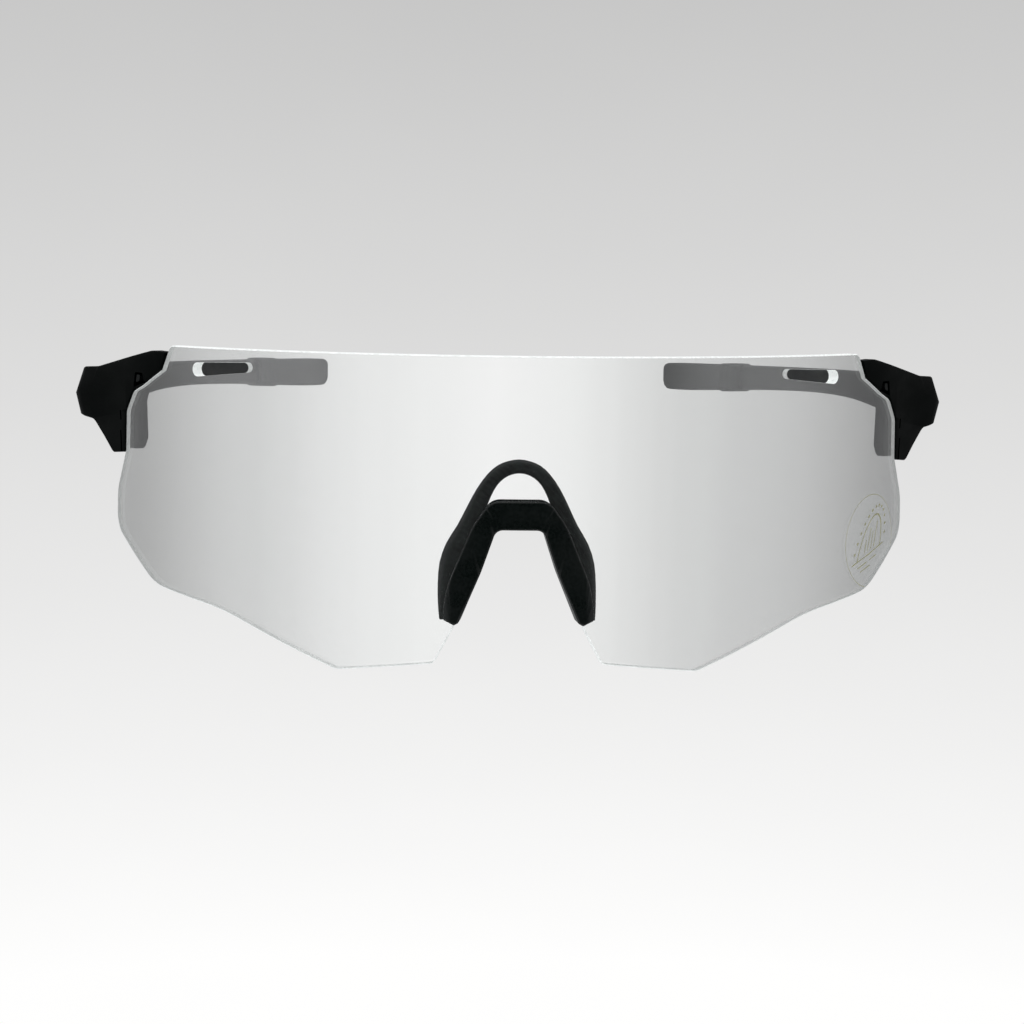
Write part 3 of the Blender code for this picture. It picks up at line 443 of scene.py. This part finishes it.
def flat_corner_normal(face, corner):
    """The shading normal of a corner of the flattened lens: square on the sheet, soft on edges."""
    if abs(face.normal.y) > SHEET_FACING:
        return Vector((0.0, math.copysign(1.0, face.normal.y), 0.0))
    soft = Vector()
    for other in corner.link_faces:
        level = abs(other.normal.y) <= SHEET_FACING
        if level and face.normal.angle(other.normal, 0.0) < EDGE_ANGLE:
            soft += other.normal * other.calc_area()
    return soft.normalized() if soft.length > 0.0 else face.normal.copy()


def make_lens():
    """The lens, in strips fine enough for clean reflections, with its cut edges told apart."""
    shape = welded_copy("shield_lens")
    for corner in shape.verts:
        corner.co = lens_to_flat(corner.co)
    count = int(WRAP_ARC / LENS_STRIP)
    for step in range(-count, count + 1):
        everything = shape.verts[:] + shape.edges[:] + shape.faces[:]
        bmesh.ops.bisect_plane(shape, geom=everything, dist=CUT_SNAP,
                               plane_co=(step * WRAP_ARC / count, 0.0, 0.0), plane_no=(1, 0, 0))
    bmesh.ops.triangulate(shape, faces=shape.faces)
    shape.normal_update()
    normals = []
    for face in shape.faces:
        face.material_index = 0 if abs(face.normal.y) > SHEET_FACING else 1
        for loop in face.loops:
            turn = max(-WRAP_TURN, min(WRAP_TURN, loop.vert.co.x / LENS_RADIUS))
            flat = flat_corner_normal(face, loop.vert)
            normals.append(Matrix.Rotation(turn, 3, "Z") @ flat)
    for corner in shape.verts:
        corner.co = lens_to_round(corner.co)
    mesh = skin_mesh("shield_lens_skin", shape, [MATERIALS["lens"], MATERIALS["lens_edge"]])
    mesh.normals_split_custom_set(normals)
    stand_in("shield_lens", mesh)


def make_skins():
    """A stand-in for each of the other CAD nodes, in the material of its slot."""
    for name, node in sorted(frame["nodes"].items()):
        if name == "shield_lens":
            continue
        slot = node.material_slots[0].material.name
        mesh = skin_mesh(name + "_skin", welded_copy(name), [MATERIALS[slot]])
        mesh.set_sharp_from_angle(angle=SMOOTH_ANGLE)
        piece = stand_in(name, mesh)
        weighted = piece.modifiers.new("weighted", "WEIGHTED_NORMAL")
        weighted.keep_sharp = True


# ---- print on the film ----------------------------------------------------------------------
FILM_ARC = 70.2 * MM
FILM_DROP = 32.5 * MM         # from the lens's top to the film's middle
FILM_RADIUS = 8.4 * MM
FILM_TILT = math.radians(17.0)
PRINT_LEAN = 0.55             # the slant that a lens curved both ways gives the print
INK_LIFT = 0.32 * MM          # how far in front of the lens the ink lies
PRINT_BASE = -2.4 * MM        # the level of the base line, from the film's middle
BASE_LINE = (-5.6 * MM, 5.4 * MM)
BASE_STROKE = 0.24 * MM
ARCH_SIZE = (4.0 * MM, 7.0 * MM)    # (half width, height)
ARCH_STROKE = 0.26 * MM
DOT_COUNT = 13
DOT_PATH = (5.5 * MM, 8.5 * MM)     # the half ellipse that the dots lie on, like ARCH_SIZE
DOT_RADIUS = 0.28 * MM
BAR_GAP = 0.8                       # between the base line and the bars, in mm
BAR_STROKE = 0.22 * MM
DASH_STROKE = 0.20 * MM
BARS = ((-1.8, 2.4), (-0.7, 4.2), (0.4, 3.2), (1.5, 4.6))      # (across, height) in mm
DASHES = ((-3.4, -3.7, 3.2), (0.6, -3.7, 2.4), (-2.2, -4.8, 3.4))  # (across, up, length) in mm
RING_RADIUS = 8.1 * MM
RING_STROKE = 0.09 * MM
RING_STEPS = 80
RING_START = math.radians(-12.0)    # the ring is open where the lens edge cuts the film
RING_END = math.radians(258.0)


def film_point(across, up):
    """A point in front of the film, given in metres from the film's middle."""
    return lens_to_round(Vector((FILM_ARC + across, -INK_LIFT, LENS_TOP - FILM_DROP + up)))


def print_point(across, up):
    """A point of the tilted and slanted print, given in the print's own upright drawing."""
    level = up * math.cos(FILM_TILT) + across * math.sin(FILM_TILT)
    along = across * math.cos(FILM_TILT) - up * math.sin(FILM_TILT)
    return film_point(along + PRINT_LEAN * up, level)


def stroke(shape, line, width, place=print_point):
    """A flat ribbon along a line of (across, up) points."""
    count = len(line)
    pairs = []
    for index, (across, up) in enumerate(line):
        before = line[max(index - 1, 0)]
        after = line[min(index + 1, count - 1)]
        run = Vector((after[0] - before[0], after[1] - before[1])).normalized()
        aside = Vector((-run.y, run.x)) * width / 2
        pairs.append([shape.verts.new(place(across + s * aside.x, up + s * aside.y))
                      for s in (1, -1)])
    for first, second in zip(pairs, pairs[1:]):
        shape.faces.new((first[0], first[1], second[1], second[0]))


def dot(shape, across, up, radius, sides=12):
    """A flat round mark of the print."""
    ring = []
    for step in range(sides):
        angle = math.tau * step / sides
        ring.append(shape.verts.new(print_point(across + radius * math.cos(angle),
                                                up + radius * math.sin(angle))))
    shape.faces.new(ring)


def arch_line(width, height, base, steps=28):
    """Half an ellipse that stands on a base line."""
    line = []
    for step in range(steps + 1):
        angle = math.pi * step / steps
        line.append((width * math.cos(angle), base + height * math.sin(angle)))
    return line


def make_print():
    """Generic marks without letters: an arch on a base line, dots round it and bars inside."""
    shape = bmesh.new()
    base = PRINT_BASE
    stroke(shape, arch_line(*ARCH_SIZE, base), ARCH_STROKE)
    stroke(shape, [(BASE_LINE[0], base), (0.0, base), (BASE_LINE[1], base)], BASE_STROKE)
    for step in range(1, DOT_COUNT + 1):
        angle = math.pi * step / (DOT_COUNT + 1)
        dot(shape, DOT_PATH[0] * math.cos(angle), base + DOT_PATH[1] * math.sin(angle),
            DOT_RADIUS)
    for across, height in BARS:
        low, high = base + BAR_GAP * MM, base + (BAR_GAP + height) * MM
        stroke(shape, [(across * MM, low), (across * MM, high)], BAR_STROKE)
    for across, up, length in DASHES:
        stroke(shape, [(across * MM, up * MM), ((across + length) * MM, up * MM)],
               DASH_STROKE)
    ring = []
    for step in range(RING_STEPS + 1):
        angle = RING_START + (RING_END - RING_START) * step / RING_STEPS
        ring.append((RING_RADIUS * math.cos(angle), RING_RADIUS * math.sin(angle)))
    stroke(shape, ring, RING_STROKE, place=film_point)
    bmesh.ops.recalc_face_normals(shape, faces=shape.faces)
    mesh = skin_mesh("film_print", shape, [MATERIALS["film_ink"]])
    piece = bpy.data.objects.new("film_print", mesh)
    bpy.context.scene.collection.objects.link(piece)
    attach(piece, "front")


# ---- studio ---------------------------------------------------------------------------------
FLOOR_DROP = 0.80
FLOOR_RADIUS = 2.2
RISE_RADIUS = 2.2
WALL_TOP = 8.0
RISE_STEPS = 24
TURN_STEPS = 96
FLOOR_MERGE = 1e-5

# The paper lights itself. Its tone is in display units: PAPER_MIDDLE where the slope is 0, less by
# PAPER_FALL for each unit of slope, and held between PAPER_LEAST and PAPER_MOST.
PAPER_MIDDLE = 0.896
PAPER_FALL = 0.389
PAPER_MOST = 1.0
PAPER_LEAST = 0.72
PAPER_COLOUR = (1.0, 0.998, 0.994)
FIBRE_SIZE = 400.0 * MM
FIBRE_TONE = 0.0015
DISPLAY_GAMMA = 2.23
# The one tone that the paper has wherever it is seen through the lens. It is lighter than the paper
# beside the lens and stands for light that a real lens gathers. It isn't worked out from anything.
GATHERED_LIGHT = (1.045, 1.05, 1.045)

FRONT_TURN = (-0.40, 0.35)    # where the surroundings go from their back to their front level
FRONT_LEVELS = (0.42, 1.18)
DARK_TURN = (0.58, 0.96)      # where they go dark, straight in front of the lens
DARK_LEVEL = 0.05
LEAN_TURN = (-0.8, 0.8)       # from the left to the right, as seen from the front
LEAN_LEVELS = (1.12, 0.88)
ABOVE_TURN = (0.15, 0.75)
ABOVE_LEVEL = 0.9
AIR_COLOUR = (0.98, 0.99, 1.0, 1.0)

# (name, place, target, size, power)
LIGHTS = (
    ("overhead", (0.0, -0.1, 0.9), (0.0, -0.02, 0.03), (0.9, 0.9), 1.6),
    ("side_right", (0.9, 0.1, 0.35), (0.05, -0.02, 0.03), (0.5, 0.7), 0.6),
    ("side_left", (-0.9, 0.1, 0.35), (-0.05, -0.02, 0.03), (0.5, 0.7), 0.6),
)
CLIP_START = 0.01


def make_floor():
    """A seamless floor that turns up into a wall. It lights nothing and takes no shadow."""
    profile = [(0.0, -FLOOR_DROP), (FLOOR_RADIUS, -FLOOR_DROP)]
    for step in range(1, RISE_STEPS + 1):
        turn = math.pi / 2 * step / RISE_STEPS
        profile.append((FLOOR_RADIUS + RISE_RADIUS * math.sin(turn),
                        -FLOOR_DROP + RISE_RADIUS * (1 - math.cos(turn))))
    profile.append((FLOOR_RADIUS + RISE_RADIUS, WALL_TOP))
    mesh = bpy.data.meshes.new("floor")
    shape = bmesh.new()
    chain = [shape.verts.new((r, 0.0, z)) for r, z in profile]
    edges = [shape.edges.new(pair) for pair in zip(chain, chain[1:])]
    bmesh.ops.spin(shape, geom=chain + edges, cent=(0, 0, 0), axis=(0, 0, 1),
                   angle=math.tau, steps=TURN_STEPS, use_merge=True)
    bmesh.ops.remove_doubles(shape, verts=shape.verts, dist=FLOOR_MERGE)
    shape.to_mesh(mesh)
    shape.free()
    mesh.shade_smooth()
    floor = bpy.data.objects.new("floor", mesh)
    bpy.context.scene.collection.objects.link(floor)
    mesh.materials.append(floor_material())
    for kind in ("diffuse", "glossy", "shadow", "volume_scatter"):
        setattr(floor, "visible_" + kind, False)


def floor_material():
    """Self-lit paper made darker with height as painted shade, and one lighter tone, painted light,
    where it is seen through the lens.

    Rays that have bounced inside the lens pass through it to the surroundings.
    """
    material, n = new_material("floor_paper")
    position = n.add("NewGeometry").outputs["Position"]
    place = n.add("SeparateXYZ", {0: position})
    away = n.math("SQRT", n.math("ADD", n.math("POWER", place.outputs[0], 2.0),
                                 n.math("POWER", place.outputs[1], 2.0)))
    elevation = n.math("ARCTAN2", place.outputs[2], away)
    # painted shade: the self-lit paper is made darker higher up the wall
    slope = n.math("TANGENT", n.math("ADD", elevation, CAMERA_PITCH))
    tone = n.math("MULTIPLY_ADD", slope, -PAPER_FALL, PAPER_MIDDLE)
    tone = n.between(tone, PAPER_LEAST, PAPER_MOST, PAPER_LEAST, PAPER_MOST, smooth=False)
    fibre = n.noise(FIBRE_SIZE, 3.0)
    tone = n.math("ADD", tone, n.between(fibre, 0.3, 0.7, -FIBRE_TONE, FIBRE_TONE))
    light = n.math("POWER", tone, DISPLAY_GAMMA)
    paper = n.colour(light, (0.0, 0.0, 0.0), PAPER_COLOUR)
    path = n.add("LightPath")
    through = path.outputs["Is Transmission Ray"]
    lit = n.add("Emission", {"Color": n.colour(through, paper, GATHERED_LIGHT), "Strength": 1.0})
    bounced = n.math("MULTIPLY", through, n.math("MINIMUM", path.outputs["Glossy Depth"], 1.0))
    open_air = n.add("BsdfTransparent")
    mix = n.add("MixShader", {0: bounced, 1: lit.outputs[0], 2: open_air.outputs[0]})
    n.out(mix.outputs[0])
    return material


def make_world():
    """Soft surroundings: bright in front and above, dark straight in front, dimmer behind.

    They are a little brighter on the left. Levels go by the parts of the direction looked in.
    """
    world = bpy.data.worlds.new("studio")
    bpy.context.scene.world = world
    world.use_nodes = True
    n = Nodes(world.node_tree)
    way = n.add("SeparateXYZ", {0: n.add("TexCoord").outputs["Generated"]})
    ahead = n.math("MULTIPLY", way.outputs[1], -1.0)
    front = n.between(ahead, *FRONT_TURN, *FRONT_LEVELS)
    dark = n.between(ahead, *DARK_TURN)
    level = n.math("MULTIPLY", front, n.between(dark, 0.0, 1.0, 1.0, DARK_LEVEL, smooth=False))
    lean = n.between(way.outputs[0], *LEAN_TURN, *LEAN_LEVELS)
    level = n.math("MULTIPLY", level, lean)
    above = n.between(way.outputs[2], *ABOVE_TURN)
    light = n.math("MAXIMUM", level, n.math("MULTIPLY", above, ABOVE_LEVEL))
    background = n.add("Background", {"Color": AIR_COLOUR, "Strength": light})
    n.add("OutputWorld", {"Surface": background.outputs[0]})


def area_light(name, place, target, size, power):
    """A rectangular light that points at a target. It is itself seen in reflections only."""
    data = bpy.data.lights.new(name, "AREA")
    data.shape = "RECTANGLE"
    data.size, data.size_y = size
    data.energy = power
    lamp = bpy.data.objects.new(name, data)
    bpy.context.scene.collection.objects.link(lamp)
    lamp.location = place
    lamp.rotation_euler = (Vector(target) - Vector(place)).to_track_quat("-Z", "Y").to_euler()
    lamp.visible_camera = False
    lamp.visible_transmission = False


def make_camera():
    """The camera that the object is looked at with from the front."""
    data = bpy.data.cameras.new("camera")
    data.lens = FOCAL_LENGTH
    data.sensor_width = SENSOR_WIDTH
    data.clip_start = CLIP_START
    camera = bpy.data.objects.new("camera", data)
    bpy.context.scene.collection.objects.link(camera)
    place = Matrix.Translation((CAMERA_SIDE, LENS_FRONT - CAMERA_DISTANCE, LENS_TOP + CAMERA_RISE))
    yaw = Matrix.Rotation(CAMERA_YAW, 4, "Z")
    pitch = Matrix.Rotation(math.pi / 2 - CAMERA_PITCH, 4, "X")
    roll = Matrix.Rotation(CAMERA_ROLL, 4, "Z")
    camera.matrix_world = place @ yaw @ pitch @ roll
    bpy.context.scene.camera = camera


make_lens()
make_skins()
make_print()
make_floor()
make_world()
for light in LIGHTS:
    area_light(*light)
make_camera()

settings = bpy.context.scene.view_settings
settings.view_transform = "Standard"
settings.look = "None"
